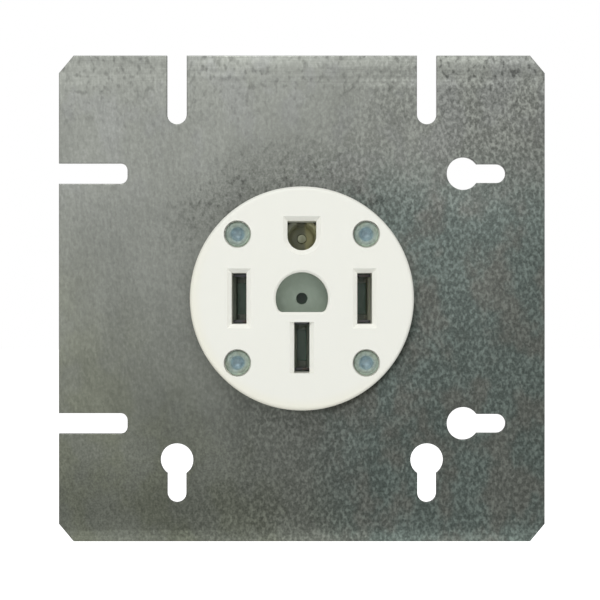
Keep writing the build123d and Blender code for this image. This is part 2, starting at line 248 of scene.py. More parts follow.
def node(tree, kind, *inputs, **named):
    """A new node with its first inputs filled in order, and others by name."""
    made = tree.nodes.new(kind)
    for socket, value in zip(made.inputs, inputs):
        put(tree, socket, value)
    for name, value in named.items():
        put(tree, made.inputs[name.replace("_", " ")], value)
    return made


def calc(tree, operation, first, second=0.0, third=0.0, clamp=False):
    """A Math node on up to three values."""
    made = node(tree, "ShaderNodeMath", first, second, third)
    made.operation = operation
    made.use_clamp = clamp
    return made.outputs[0]


def plus(tree, first, *others):
    """Values added up."""
    for other in others:
        first = calc(tree, "ADD", first, other)
    return first


def times(tree, first, *others):
    """Values multiplied with each other."""
    for other in others:
        first = calc(tree, "MULTIPLY", first, other)
    return first


def scaled(tree, value, factor, offset, clamp=False):
    """A value times a factor, plus an offset."""
    return calc(tree, "MULTIPLY_ADD", value, factor, offset, clamp)


def off_axis(tree, x, z):
    """How far a point lies from the axis along Y."""
    return calc(tree, "SQRT", plus(tree, times(tree, x, x), times(tree, z, z)))


def blend_value(tree, factor, first, second):
    """A value between two others."""
    made = node(tree, "ShaderNodeMix")
    put(tree, made.inputs[0], factor)
    put(tree, made.inputs[2], first)
    put(tree, made.inputs[3], second)
    return made.outputs[0]


def blend_colour(tree, factor, first, second, way="MIX"):
    """A colour between two others."""
    made = node(tree, "ShaderNodeMix")
    made.data_type = "RGBA"
    made.blend_type = way
    put(tree, made.inputs[0], factor)
    put(tree, made.inputs[6], first)
    put(tree, made.inputs[7], second)
    return made.outputs[2]


def rise(tree, value, low, high, start=0.0, end=1.0):
    """Runs smoothly from start to end while a value goes from low to high."""
    made = node(tree, "ShaderNodeMapRange", value, low, high, start, end)
    made.interpolation_type = "SMOOTHSTEP"
    return made.outputs[0]


def past(tree, value, start, blur):
    """A mask that turns from 0 to 1 where a value passes a start."""
    return rise(tree, value, start - blur, start + blur)


def cloud(tree, place, scale, detail=2.0, roughness=0.5, distortion=0.0):
    """Soft noise about 0.5."""
    made = node(tree, "ShaderNodeTexNoise", Vector=place, Scale=scale, Detail=detail,
                Roughness=roughness, Distortion=distortion)
    return made.outputs[0]


def move(tree, place, operation, vector):
    """A Vector Math node on a place and one more vector."""
    made = node(tree, "ShaderNodeVectorMath", place, vector)
    made.operation = operation
    return made.outputs[0]


def split(tree, vector):
    """The X, Y and Z of a vector."""
    return node(tree, "ShaderNodeSeparateXYZ", vector).outputs


def leaning(tree, place, angle, squeeze):
    """A place turned about Y and squeezed along Z, which draws what is laid on it out and aslant."""
    return node(tree, "ShaderNodeMapping", place, (0.0, 0.0, 0.0), (0.0, angle, 0.0),
                (1.0, 1.0, squeeze)).outputs[0]


def object_place(tree):
    """A point's place in the part's own frame."""
    return node(tree, "ShaderNodeTexCoord").outputs["Object"]


def new_group(name, inputs, outputs):
    """An empty node group with named sockets, its input node and its output node."""
    group = bpy.data.node_groups.new(name, "ShaderNodeTree")
    for label, kind, value in inputs:
        socket = group.interface.new_socket(label, in_out="INPUT", socket_type=kind)
        if value is not None:
            socket.default_value = value
    for label, kind in outputs:
        group.interface.new_socket(label, in_out="OUTPUT", socket_type=kind)
    return group, group.nodes.new("NodeGroupInput").outputs, group.nodes.new("NodeGroupOutput").inputs


def use_group(tree, group, **values):
    """A node group placed in a material with its own values."""
    made = tree.nodes.new("ShaderNodeGroup")
    made.node_tree = group
    for name, value in values.items():
        put(tree, made.inputs[name.replace("_", " ")], value)
    return made.outputs


# Effects, each a node group that is built once

def moulded_grain():
    """The fine skin that a mould leaves, with slow waves under it."""
    group, given, out = new_group(
        "Moulded grain",
        [("Place", "NodeSocketVector", None), ("Grain Size", "NodeSocketFloat", 0.0004),
         ("Wave Size", "NodeSocketFloat", 0.012)],
        [("Height", "NodeSocketFloat"), ("Tone", "NodeSocketFloat")])
    fine = cloud(group, given["Place"], calc(group, "DIVIDE", 1.0, given["Grain Size"]), 3.0, 0.6)
    slow = cloud(group, given["Place"], calc(group, "DIVIDE", 1.0, given["Wave Size"]))
    put(group, out["Height"], scaled(group, slow, 2.0, fine))
    put(group, out["Tone"], blend_value(group, 0.35, slow, fine))
    return group


def rolled_streaks():
    """Thin scratches that run one way, as on rolled strip and sheet."""
    group, given, out = new_group(
        "Rolled streaks",
        [("Place", "NodeSocketVector", None), ("Stretch", "NodeSocketVector", (1.0, 1.0, 12.0)),
         ("Width", "NodeSocketFloat", 0.0002)],
        [("Height", "NodeSocketFloat"), ("Tone", "NodeSocketFloat")])
    long_place = move(group, given["Place"], "DIVIDE", given["Stretch"])
    scale = calc(group, "DIVIDE", 1.0, given["Width"])
    streaks = cloud(group, long_place, scale, 4.0, 0.7)
    wide = cloud(group, long_place, times(group, scale, 0.12))
    put(group, out["Height"], streaks)
    put(group, out["Tone"], blend_value(group, 0.5, streaks, wide))
    return group


def tarnish_bloom():
    """Soft blotches where a bright metal has dulled, and small specks."""
    group, given, out = new_group(
        "Tarnish bloom",
        [("Place", "NodeSocketVector", None), ("Size", "NodeSocketFloat", 0.004),
         ("Amount", "NodeSocketFloat", 0.5)],
        [("Mask", "NodeSocketFloat"), ("Speck", "NodeSocketFloat")])
    scale = calc(group, "DIVIDE", 1.0, given["Size"])
    blotch = cloud(group, given["Place"], scale, 4.0, 0.6, 0.4)
    low = calc(group, "SUBTRACT", 0.9, given["Amount"])
    specks = cloud(group, given["Place"], times(group, scale, 9.0))
    put(group, out["Mask"], rise(group, blotch, low, plus(group, low, 0.3)))
    put(group, out["Speck"], rise(group, specks, 0.58, 0.72))
    return group


def turned_thread():
    """The ridges of a screw thread round an axis that lies along Y."""
    group, given, out = new_group(
        "Turned thread",
        [("Place", "NodeSocketVector", None), ("Pitch", "NodeSocketFloat", 0.0008)],
        [("Height", "NodeSocketFloat")])
    x, y, z = split(group, given["Place"])
    turn = calc(group, "DIVIDE", calc(group, "ARCTAN2", z, x), 2 * math.pi)
    along = plus(group, calc(group, "DIVIDE", y, given["Pitch"]), turn)
    put(group, out["Height"], calc(group, "PINGPONG", along, 0.5))
    return group


def zinc_spangle():
    """The flecks, specks, patches and grain of hot-dip galvanised sheet, and the painted light and shade of
    its fine ripple.
    """
    group, given, out = new_group(
        "Zinc spangle",
        [("Place", "NodeSocketVector", None), ("Patch Size", "NodeSocketFloat", 0.009),
         ("Fleck Size", "NodeSocketFloat", 0.0009)],
        [("Fleck", "NodeSocketFloat"), ("Speck", "NodeSocketFloat"), ("Patch", "NodeSocketFloat"),
         ("Wave", "NodeSocketFloat"), ("Grain", "NodeSocketFloat"), ("Relief", "NodeSocketFloat")])
    place = given["Place"]
    drawn = leaning(group, place, 0.6, 0.72)
    large = calc(group, "DIVIDE", 1.0, given["Patch Size"])
    small = calc(group, "DIVIDE", 1.0, given["Fleck Size"])
    fine = cloud(group, drawn, small, 1.0, 0.5, 0.2)
    clump = cloud(group, drawn, times(group, small, 0.30))
    bright = scaled(group, fine, 0.80, times(group, clump, 0.20))
    sparse = cloud(group, drawn, times(group, small, 0.62), 1.0)
    put(group, out["Fleck"], rise(group, bright, 0.40, 0.70))
    put(group, out["Speck"], rise(group, sparse, 0.53, 0.70))
    put(group, out["Patch"], cloud(group, drawn, large, 3.0, 0.55))
    put(group, out["Wave"], cloud(group, place, times(group, large, 0.5), 1.0))
    grain = cloud(group, place, times(group, small, 1.7), 2.0, 0.6)
    put(group, out["Grain"], rise(group, grain, 0.30, 0.70, -0.5, 0.5))
    # The relief is painted light and shade: a fine ripple less the same ripple a little to one side, so one
    # flank reads lit and the other shaded.
    tall = leaning(group, place, 0.25, 0.5)
    ripple = times(group, small, 0.8)
    here = cloud(group, tall, ripple)
    beside = cloud(group, move(group, tall, "ADD", (0.0003, 0.0, 0.0001)), ripple)
    put(group, out["Relief"], calc(group, "SUBTRACT", here, beside))
    return group


GROUPS = {}


def effect(maker):
    """The node group that a function makes, built the first time that it is used."""
    if maker not in GROUPS:
        GROUPS[maker] = maker()
    return GROUPS[maker]


# Materials

def new_material(name):
    """A material with only its shader and output, and its node tree."""
    material = bpy.data.materials.new(name)
    material.use_nodes = True
    tree = material.node_tree
    tree.nodes.clear()
    shader = tree.nodes.new("ShaderNodeBsdfPrincipled")
    output = tree.nodes.new("ShaderNodeOutputMaterial")
    tree.links.new(shader.outputs[0], output.inputs[0])
    return material, tree, shader


def set_bump(tree, shader, height, distance):
    """Feed a height into the shader's normal."""
    bump = node(tree, "ShaderNodeBump", Strength=1.0, Distance=distance, Height=height)
    tree.links.new(bump.outputs[0], shader.inputs["Normal"])


def facing(tree):
    """How far a surface looks along Y, from 0 on an edge to 1 on the sheet's own faces."""
    normal = node(tree, "ShaderNodeNewGeometry").outputs["True Normal"]
    return calc(tree, "ABSOLUTE", split(tree, normal)[1])


def grey(tree, value):
    """A colour with one value in all three channels."""
    return node(tree, "ShaderNodeCombineXYZ", value, value, value).outputs[0]


def tint(tree, factor, colour, shade):
    """Multiply a colour by another where a factor says so."""
    return blend_colour(tree, factor, colour, shade, "MULTIPLY")


def lighter(tree, colour, level):
    """A colour made lighter or darker by a level about 1."""
    return tint(tree, 1.0, colour, grey(tree, level))


def sheet_zones(tree, x, z, wave):
    """Masks, from 0 to 1, of the places on the plate where its coat looks different."""
    top = PLATE_HIGH.z
    radius = off_axis(tree, x, z)
    above_face = times(tree, rise(tree, radius, FACE_RADIUS + 0.018, FACE_RADIUS + 0.002),
                       rise(tree, z, 0.008, 0.024))
    wander = scaled(tree, above_face, 0.016, scaled(tree, wave, 0.030, -0.015))
    # Painted shade deepens along this slant, towards the lower right.
    to_shade = plus(tree, times(tree, x, 0.58), times(tree, z, -1.1), wander)
    to_coarse = plus(tree, x, times(tree, z, -0.45), wander)
    coarse = rise(tree, to_coarse, -0.022, 0.030)
    right = rise(tree, x, 0.026, 0.034)
    low = rise(tree, z, -0.020, -0.045)
    low_right = plus(tree, times(tree, x, 0.7), times(tree, z, -0.7))
    return {
        # Painted shade: the zinc darkens towards the lower right, away from the lamp.
        "dark": rise(tree, to_shade, -0.092, 0.065),
        "coarse": coarse,
        "grainy": calc(tree, "MAXIMUM", calc(tree, "MAXIMUM", coarse, above_face), low),
        "rippled": rise(tree, x, 0.010, -0.030),
        "specked": calc(tree, "MAXIMUM", rise(tree, z, top - 0.0235, top - 0.0015),
                        times(tree, above_face, 1.3)),
        "teal": times(tree, rise(tree, x, -0.004, 0.020), rise(tree, z, 0.040, 0.016)),
        "violet": rise(tree, z, 0.010, 0.045),
        "olive": rise(tree, plus(tree, x, z), -0.030, -0.085),
        "right": right,
        "top right": times(tree, right, rise(tree, z, top - 0.0080, top - 0.0050)),
        "near edge": rise(tree, calc(tree, "ABSOLUTE", z), top - 0.0090, top - 0.0050),
        # Painted shadow of the face on the zinc along its lower right rim.
        "face shadow": times(tree, rise(tree, radius, FACE_RADIUS + 0.0021, FACE_RADIUS + 0.0007),
                          rise(tree, low_right, 0.015, 0.027)),
        # Painted light under the face's centre recess.
        "centre": rise(tree, radius, 0.012, 0.009),
    }


def edge_bands(tree, x, z, right):
    """How much lighter the plate is in bands along its top and its foot, and duller above its foot."""
    top, foot = PLATE_HIGH.z, PLATE_LOW.z
    foot_band = rise(tree, z, foot + 0.0031, foot + 0.0024, 0.0, 0.26)
    foot_line = rise(tree, z, foot + 0.0017, foot + 0.0011, 0.0, 0.20)
    dull = times(tree, rise(tree, z, foot + 0.0195, foot + 0.0075, 0.0, -0.13),
                 rise(tree, x, 0.000, -0.030))
    wide_band = rise(tree, z, top - 0.0043, top - 0.0003, 0.0, 0.36)
    narrow_band = rise(tree, z, top - 0.0027, top - 0.0013, 0.0, 0.42)
    top_band = times(tree, blend_value(tree, right, wide_band, narrow_band),
                     rise(tree, x, -0.036, -0.012))
    top_line = times(tree, rise(tree, z, top - 0.0083, top - 0.0071, 0.0, 0.24),
                     rise(tree, z, top - 0.0049, top - 0.0061), rise(tree, x, 0.000, 0.030))
    return plus(tree, foot_band, foot_line, dull, top_band, top_line)


def zinc_tones(tree, settings, zones, patch):
    """The plate's colour under its flecks, pale to dark in painted light and shade, with teal, violet and
    olive patches.
    """
    tone = blend_colour(tree, zones["dark"], settings.lit_tone, settings.shaded_tone)
    teal = times(tree, rise(tree, patch, 0.36, 0.56), zones["teal"])
    violet = times(tree, rise(tree, patch, 0.54, 0.40), zones["violet"])
    olive = times(tree, rise(tree, patch, 0.38, 0.58, 0.5, 1.0), zones["olive"])
    tone = tint(tree, teal, tone, settings.teal_tint)
    tone = tint(tree, violet, tone, settings.violet_tint)
    return tint(tree, olive, tone, settings.olive_tint)


def fleck_strength(tree, settings, zones, patch):
    """How much the light flecks stand out, which is most where the spangle is coarse."""
    ripe = times(tree, zones["coarse"], rise(tree, patch, 0.35, 0.60, 0.75, 1.0),
                 scaled(tree, zones["top right"], -0.65, 1.0))
    return blend_value(tree, ripe, settings.least_contrast, settings.contrast)


def zinc_texture(tree, zones, spangle, strength):
    """Light flecks, dark specks, grain, and the ripple's painted light and shade, as a level about 1."""
    mean_fleck = 0.38
    flecks = scaled(tree, plus(tree, spangle["Fleck"], -mean_fleck), strength, 1.0)
    specked = times(tree, zones["specked"], scaled(tree, zones["coarse"], -0.4, 1.0))
    specked = scaled(tree, zones["top right"], 1.1, specked)
    specks = times(tree, spangle["Speck"], scaled(tree, specked, -0.24, -0.05))
    grain = times(tree, spangle["Grain"], scaled(tree, zones["grainy"], 0.26, 0.07))
    # Painted light and shade of the fine ripple, on the left of the plate.
    ripple = times(tree, spangle["Relief"], zones["rippled"], 0.50)
    return plus(tree, flecks, specks, grain, ripple)


def zinc_material(settings):
    """Galvanised sheet: even at the upper left and coarse at the lower right, made pale at the upper left by
    painted light and darker at the lower right by painted shade.
    """
    hole_radius = 0.0016
    blotches_per_metre = 75.0
    material, tree, shader = new_material("galvanised sheet")
    place = object_place(tree)
    x, _, z = split(tree, place)
    spangle = use_group(tree, effect(zinc_spangle), Place=place,
                        Patch_Size=settings.patch_size, Fleck_Size=settings.fleck_size)
    streaks = use_group(tree, effect(rolled_streaks), Place=place, Stretch=(1.0, 1.0, 7.0), Width=0.0004)
    lines = use_group(tree, effect(rolled_streaks), Place=place, Stretch=(40.0, 1.0, 1.0), Width=0.0008)
    zones = sheet_zones(tree, x, z, spangle["Wave"])

    blotch = cloud(tree, place, blotches_per_metre, 3.0, 0.55)
    blotch = rise(tree, blotch, 0.34, 0.66, -0.045, 0.045)
    level = plus(tree, edge_bands(tree, x, z, zones["right"]), blotch, 1.0)
    base = lighter(tree, zinc_tones(tree, settings, zones, spangle["Patch"]), level)
    strength = fleck_strength(tree, settings, zones, spangle["Patch"])
    colour = lighter(tree, base, zinc_texture(tree, zones, spangle, strength))
    colour = lighter(tree, colour, rise(tree, streaks["Tone"], 0.3, 0.7, 0.96, 1.04))
    lined = grey(tree, rise(tree, lines["Tone"], 0.35, 0.65, 0.83, 1.17))
    colour = tint(tree, zones["near edge"], colour, lined)
    # Painted shadow of the face along its lower right rim.
    colour = tint(tree, zones["face shadow"], colour, settings.rim_shadow_tint)
    # Painted light that lifts the shade under the face's centre recess.
    colour = blend_colour(tree, zones["centre"], colour, settings.painted_centre_light)

    sheared = blend_colour(tree, streaks["Tone"], settings.edge_tone, base)
    colour = blend_colour(tree, rise(tree, facing(tree), 0.45, 0.95), sheared, colour)
    put(tree, shader.inputs["Base Color"], colour)
    put(tree, shader.inputs["Metallic"], 1.0)
    put(tree, shader.inputs["Roughness"], scaled(tree, spangle["Fleck"], -0.10, 0.50))

    thread = use_group(tree, effect(turned_thread), Place=place, Pitch=0.0008)
    in_hole = calc(tree, "LESS_THAN", off_axis(tree, x, z), hole_radius)
    skin = times(tree, spangle["Fleck"], strength, calc(tree, "SUBTRACT", 1.0, zones["centre"]), 0.02)
    set_bump(tree, shader, blend_value(tree, in_hole, skin, thread["Height"]), 0.0012)
    return material


def face_material(settings):
    """Ivory-white thermoplastic with a satin skin, a little creamier in its grain, with painted shade on its
    rim at the lower left and painted light on the slopes round its slots.
    """
    lead_in_slope = 0.70
    recess_reach, recess_foot = 0.0080, -0.0040
    material, tree, shader = new_material("white moulding")
    place = object_place(tree)
    x, _, z = split(tree, place)
    grain = use_group(tree, effect(moulded_grain), Place=place,
                      Grain_Size=settings.grain_size, Wave_Size=0.011)
    radius = off_axis(tree, x, z)
    # Painted shade on the rim at the lower left, where the rounded edge turns away from the lamp, mixed with
    # the grain's cream.
    low_left = plus(tree, times(tree, x, -0.6), times(tree, z, -0.8))
    rim = times(tree, rise(tree, radius, FACE_RADIUS - 0.0035, FACE_RADIUS + 0.0002),
                rise(tree, low_left, -0.008, 0.022))
    cream_and_shade = scaled(tree, grain["Tone"], 0.16, times(tree, rim, 0.55))
    colour = blend_colour(tree, cream_and_shade, settings.face_tone, settings.face_cream_and_shade_tone)

    # Painted light: slopes that don't face down, and the centre recess, get a whiter colour.
    _, forwards, upwards = split(tree, node(tree, "ShaderNodeNewGeometry").outputs["True Normal"])
    turned = calc(tree, "ABSOLUTE", plus(tree, forwards, lead_in_slope))
    in_recess = times(tree, rise(tree, radius, recess_reach, recess_reach - 0.0008),
                      rise(tree, z, recess_foot, recess_foot + 0.0004))
    lit = calc(tree, "MAXIMUM", rise(tree, upwards, -0.5, -0.3), in_recess)
    off_rim = rise(tree, radius, FACE_RADIUS - 0.0020, FACE_RADIUS - 0.0025)
    lit_slopes = times(tree, rise(tree, turned, 0.26, 0.20), lit, off_rim)
    put(tree, shader.inputs["Base Color"], blend_colour(tree, lit_slopes, colour, settings.lit_slope_tone))
    put(tree, shader.inputs["Roughness"], rise(tree, grain["Tone"], 0.3, 0.7, 0.38, 0.50))
    put(tree, shader.inputs["IOR"], 1.48)
    set_bump(tree, shader, grain["Height"], 0.000015)
    return material


def body_material(settings):
    """Dark phenolic, glossy where the mould was polished, with a pale bloom, and greenish dust with painted
    sheen on the pocket floors.
    """
    pocket_reach = 0.0200
    material, tree, shader = new_material("dark moulding")
    place = object_place(tree)
    grain = use_group(tree, effect(moulded_grain), Place=place,
                      Grain_Size=settings.grain_size, Wave_Size=0.006)
    bloom = use_group(tree, effect(tarnish_bloom), Place=place, Size=0.009, Amount=0.42)
    dusty = scaled(tree, bloom["Mask"], 0.6, times(tree, bloom["Speck"], 0.4))
    colour = blend_colour(tree, dusty, settings.body_tone, settings.body_dust_tone)
    x, _, z = split(tree, place)
    # Greenish dust and painted sheen on the pocket floors that face the front.
    normal = node(tree, "ShaderNodeNewGeometry").outputs["True Normal"]
    faces_front = calc(tree, "LESS_THAN", split(tree, normal)[1], -0.9)
    pocket = times(tree, faces_front, calc(tree, "LESS_THAN", off_axis(tree, x, z), pocket_reach))
    put(tree, shader.inputs["Base Color"], blend_colour(tree, pocket, colour, settings.pocket_dust_and_sheen_tone))
    rough = blend_value(tree, dusty, 0.30, 0.52)
    put(tree, shader.inputs["Roughness"], blend_value(tree, pocket, rough, 0.14))
    put(tree, shader.inputs["IOR"], 1.55)
    set_bump(tree, shader, grain["Height"], 0.00003)
    return material


def brass_material(settings):
    """Rolled brass strip that has tarnished, worn bright where the ground pin rubs its cup, with a painted
    glint there and a painted highlight on one leaf of the right blade contact.
    """
    cup_foot, right_leaf, pin_side, rear = 0.0110, 0.0160, 0.0008, 0.01875
    material, tree, shader = new_material("brass strip")
    place = object_place(tree)
    x, y, z = split(tree, place)
    streaks = use_group(tree, effect(rolled_streaks), Place=place, Stretch=(1.0, 16.0, 1.0), Width=0.00012)
    bloom = use_group(tree, effect(tarnish_bloom), Place=place, Size=0.0035, Amount=0.48)
    in_cup = past(tree, z, cup_foot, 0.0010)
    # Painted highlight on the outer leaf of the right blade contact.
    jaw = blend_colour(tree, past(tree, x, right_leaf, 0.0004),
                       settings.jaw_tarnish_tone, settings.lit_jaw_tone)
    oxide = blend_colour(tree, in_cup, jaw, settings.tarnish_tone)
    clean = blend_colour(tree, rise(tree, streaks["Tone"], 0.35, 0.65, 0.0, 0.25), settings.rubbed_brass_and_glint_tone, oxide)
    # The rubbed patch on the right of the cup is worn brass with a painted glint.
    worn = times(tree, past(tree, x, pin_side, 0.0004), in_cup)
    dull = scaled(tree, bloom["Mask"], 0.1, scaled(tree, worn, -0.8, 0.9), clamp=True)
    behind = past(tree, y, rear, 0.00125)
    colour = blend_colour(tree, dull, clean, oxide)
    put(tree, shader.inputs["Base Color"], blend_colour(tree, behind, colour, settings.rear_brass_tone))
    put(tree, shader.inputs["Metallic"], behind)
    put(tree, shader.inputs["Roughness"], blend_value(tree, behind, 0.60, 0.34))
    set_bump(tree, shader, streaks["Height"], 0.00001)
    return material


def spring_material(settings):
    """Blued spring steel with a faint straw tint."""
    material, tree, shader = new_material("spring steel")
    place = object_place(tree)
    streaks = use_group(tree, effect(rolled_streaks), Place=place, Stretch=(10.0, 1.0, 10.0), Width=0.0001)
    bloom = use_group(tree, effect(tarnish_bloom), Place=place, Size=0.003, Amount=0.45)
    colour = blend_colour(tree, bloom["Mask"], settings.spring_tone, settings.straw_tone)
    put(tree, shader.inputs["Base Color"], colour)
    put(tree, shader.inputs["Metallic"], 1.0)
    put(tree, shader.inputs["Roughness"], rise(tree, streaks["Tone"], 0.3, 0.7, 0.28, 0.45))
    set_bump(tree, shader, streaks["Height"], 0.00001)
    return material


def rivet_material(settings, rivet_low, rivet_high):
    """Clear zinc plate with a blue cast, hazier and greener towards the roll's outside, with a painted
    highlight round the dish's lip and painted light on the roll's lower right.
    """
    dish, lip_line, roll_line = 0.0011, 0.0015, 0.0026
    marks_per_metre, smears_per_metre = 9000.0, 1100.0
    material, tree, shader = new_material("bluish zinc plate")
    place = object_place(tree)
    middle = (rivet_low + rivet_high) / 2
    folded = node(tree, "ShaderNodeVectorMath", place)
    folded.operation = "ABSOLUTE"
    own = move(tree, folded.outputs[0], "SUBTRACT", (abs(middle.x), 0.0, abs(middle.z)))
    x, _, z = split(tree, own)
    radius = off_axis(tree, x, z)
    bloom = use_group(tree, effect(tarnish_bloom), Place=place, Size=0.0028, Amount=0.5)
    haze = scaled(tree, bloom["Mask"], 0.25,
                  rise(tree, radius, dish + 0.0001, dish + 0.0011, 0.0, 0.75), clamp=True)
    colour = blend_colour(tree, haze, settings.rivet_tone, settings.rivet_haze_tone)

    sides = node(tree, "ShaderNodeVectorMath", place)
    sides.operation = "SIGN"
    across, _, upward = split(tree, move(tree, sides.outputs[0], "MULTIPLY", own))
    # Painted highlight round the dish's lip, and painted light on the roll's lower right.
    low_right = rise(tree, calc(tree, "SUBTRACT", across, upward), -0.0030, 0.0040)
    lip_highlight = times(tree, rise(tree, radius, lip_line - 0.0005, lip_line - 0.0001),
                rise(tree, radius, lip_line + 0.0005, lip_line + 0.0001), 0.42)
    roll = times(tree, past(tree, radius, roll_line, 0.0002), scaled(tree, low_right, 0.95, 0.15))
    colour = lighter(tree, colour, plus(tree, lip_highlight, rise(tree, radius, 0.0, dish, 0.84, 1.02), roll))

    turn = calc(tree, "ARCTAN2", z, x)
    outwards = times(tree, radius, marks_per_metre)
    turning = node(tree, "ShaderNodeCombineXYZ", outwards, turn, 0.0).outputs[0]
    marks = cloud(tree, turning, 1.0, 3.0, 0.6)
    smear = cloud(tree, place, smears_per_metre, 2.0, 0.6, 0.6)
    colour = lighter(tree, colour, rise(tree, marks, 0.35, 0.65, 0.88, 1.10))
    colour = lighter(tree, colour, rise(tree, smear, 0.35, 0.65, 0.82, 1.14))
    put(tree, shader.inputs["Base Color"], colour)
    put(tree, shader.inputs["Metallic"], blend_value(tree, haze, 0.50, 0.20))
    put(tree, shader.inputs["Roughness"], blend_value(tree, haze, 0.50, 0.60))
    set_bump(tree, shader, marks, 0.00002)
    return material


def plated_material(name, tone, dull_tint, streak, rough_low, rough_high):
    """A plated metal with faint machining marks and dull blotches."""
    material, tree, shader = new_material(name)
    place = object_place(tree)
    streaks = use_group(tree, effect(rolled_streaks), Place=place, Stretch=streak, Width=0.00015)
    bloom = use_group(tree, effect(tarnish_bloom), Place=place, Size=0.003, Amount=0.45)
    mask = scaled(tree, bloom["Mask"], 0.6, times(tree, streaks["Tone"], 0.25))
    put(tree, shader.inputs["Base Color"], tint(tree, mask, tone, dull_tint))
    put(tree, shader.inputs["Metallic"], 1.0)
    put(tree, shader.inputs["Roughness"], blend_value(tree, mask, rough_low, rough_high))
    set_bump(tree, shader, streaks["Height"], 0.00001)
    return material


def finish_nodes(names, material):
    """Give CAD nodes one material on all their slots."""
    for name in names:
        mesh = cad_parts[name].data
        mesh.materials.clear()
        mesh.materials.append(material)


# Meshes

def thread_point(settings, along, turn, radius, start, end):
    """The radius of a threaded rod at a distance along its axis and an angle round it."""
    phase = (along / settings.pitch + turn / (2 * math.pi)) % 1.0
    depth = settings.thread_depth * abs(2 * phase - 1)
    bevel = max(0.0, settings.chamfer - min(along - start, end - along))
    return min(radius - depth, radius - bevel)


def threaded_rod(settings, radius, start, end):
    """A mesh of a rod along +X with its thread, closed at both ends."""
    mesh = bmesh.new()
    rings = round((end - start) / settings.pitch * settings.rings)
    turns = [2 * math.pi * side / settings.sides for side in range(settings.sides)]
    loops = []
    for ring in range(rings + 1):
        along = start + (end - start) * ring / rings
        loop = []
        for turn in turns:
            reach = thread_point(settings, along, turn, radius, start, end)
            loop.append(mesh.verts.new((along, reach * math.cos(turn), reach * math.sin(turn))))
        loops.append(loop)
    for low, high in zip(loops, loops[1:]):
        for side in range(settings.sides):
            after = (side + 1) % settings.sides
            mesh.faces.new((low[side], low[after], high[after], high[side]))
    mesh.faces.new(reversed(loops[0]))
    mesh.faces.new(loops[-1])
    bmesh.ops.recalc_face_normals(mesh, faces=mesh.faces)
    return mesh


def box_mesh(low, high):
    """A closed block between two corners."""
    mesh = bmesh.new()
    bmesh.ops.create_cube(mesh, size=1.0)
    size = high - low
    bmesh.ops.scale(mesh, vec=size, verts=mesh.verts)
    bmesh.ops.translate(mesh, vec=(low + high) / 2, verts=mesh.verts)
    return mesh


def link_mesh(name, mesh):
    """An object in the scene that holds a bmesh."""
    data = bpy.data.meshes.new(name)
    mesh.to_mesh(data)
    mesh.free()
    made = bpy.data.objects.new(name, data)
    bpy.context.scene.collection.objects.link(made)
    return made


def cut_away(piece, cutter):
    """Take one closed mesh out of another, and drop the cutter."""
    modifier = piece.modifiers.new("cut", "BOOLEAN")
    modifier.operation = "DIFFERENCE"
    modifier.solver = "EXACT"
    modifier.object = cutter
    graph = bpy.context.evaluated_depsgraph_get()
    finished = bpy.data.meshes.new_from_object(piece.evaluated_get(graph))
    piece.modifiers.clear()
    piece.data = finished
    bpy.data.objects.remove(cutter)
    return piece


def set_screw(settings, pole):
    """A threaded, slotted set screw in the place of its plain node."""
    low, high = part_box(f"{pole}_screw")
    turned = Matrix.Rotation(math.radians(-POLES[pole]), 4, "Y")
    middle = (low + high) / 2
    radius = (high.y - low.y) / 2
    distance = math.hypot(middle.x, middle.z)
    along_x = abs(middle.x) > abs(middle.z)
    length = (high.x - low.x) if along_x else (high.z - low.z)
    start, end = distance - length / 2, distance + length / 2
    rod = link_mesh(f"{pole}_set_screw", threaded_rod(settings, radius, start, end))
    half = settings.slot_width / 2
    cutter = link_mesh("slot_cutter", box_mesh(
        Vector((end - settings.slot_depth, -2 * radius, -half)),
        Vector((end + settings.slot_depth, 2 * radius, half))))
    screw = cut_away(rod, cutter)
    screw.data.transform(Matrix.Translation((0, middle.y, 0)))
    screw.data.transform(turned)
    screw.data.shade_smooth()
    screw.data.set_sharp_from_angle(angle=settings.sharp_angle)
    return screw


# Stage

def add_lamp(name, place, side, power, glossy):
    """A square area lamp that looks at the plate's middle, and shows in gloss or doesn't."""
    data = bpy.data.lights.new(name, "AREA")
    data.size = side
    data.energy = power
    lamp = bpy.data.objects.new(name, data)
    lamp.location = place
    lamp.rotation_euler = (-lamp.location).to_track_quat("-Z", "Y").to_euler()
    lamp.visible_glossy = glossy
    bpy.context.scene.collection.objects.link(lamp)


def seen_plainly(tree):
    """1 for what the camera, a gloss or a clear thing shows, and 0 for light on a surface."""
    path = tree.nodes.new("ShaderNodeLightPath").outputs
    seen = calc(tree, "MAXIMUM", path["Is Camera Ray"], path["Is Glossy Ray"])
    return calc(tree, "MAXIMUM", seen, path["Is Transmission Ray"])


def add_world(ambient):
    """A white world: full white to the camera and in reflections, softer as light."""
    world = bpy.data.worlds.new("studio")
    world.use_nodes = True
    tree = world.node_tree
    tree.nodes.clear()
    strength = blend_value(tree, seen_plainly(tree), ambient, 1.0)
    background = node(tree, "ShaderNodeBackground", Color=(1.0, 1.0, 1.0), Strength=strength)
    output = tree.nodes.new("ShaderNodeOutputWorld")
    tree.links.new(background.outputs[0], output.inputs[0])
    bpy.context.scene.world = world


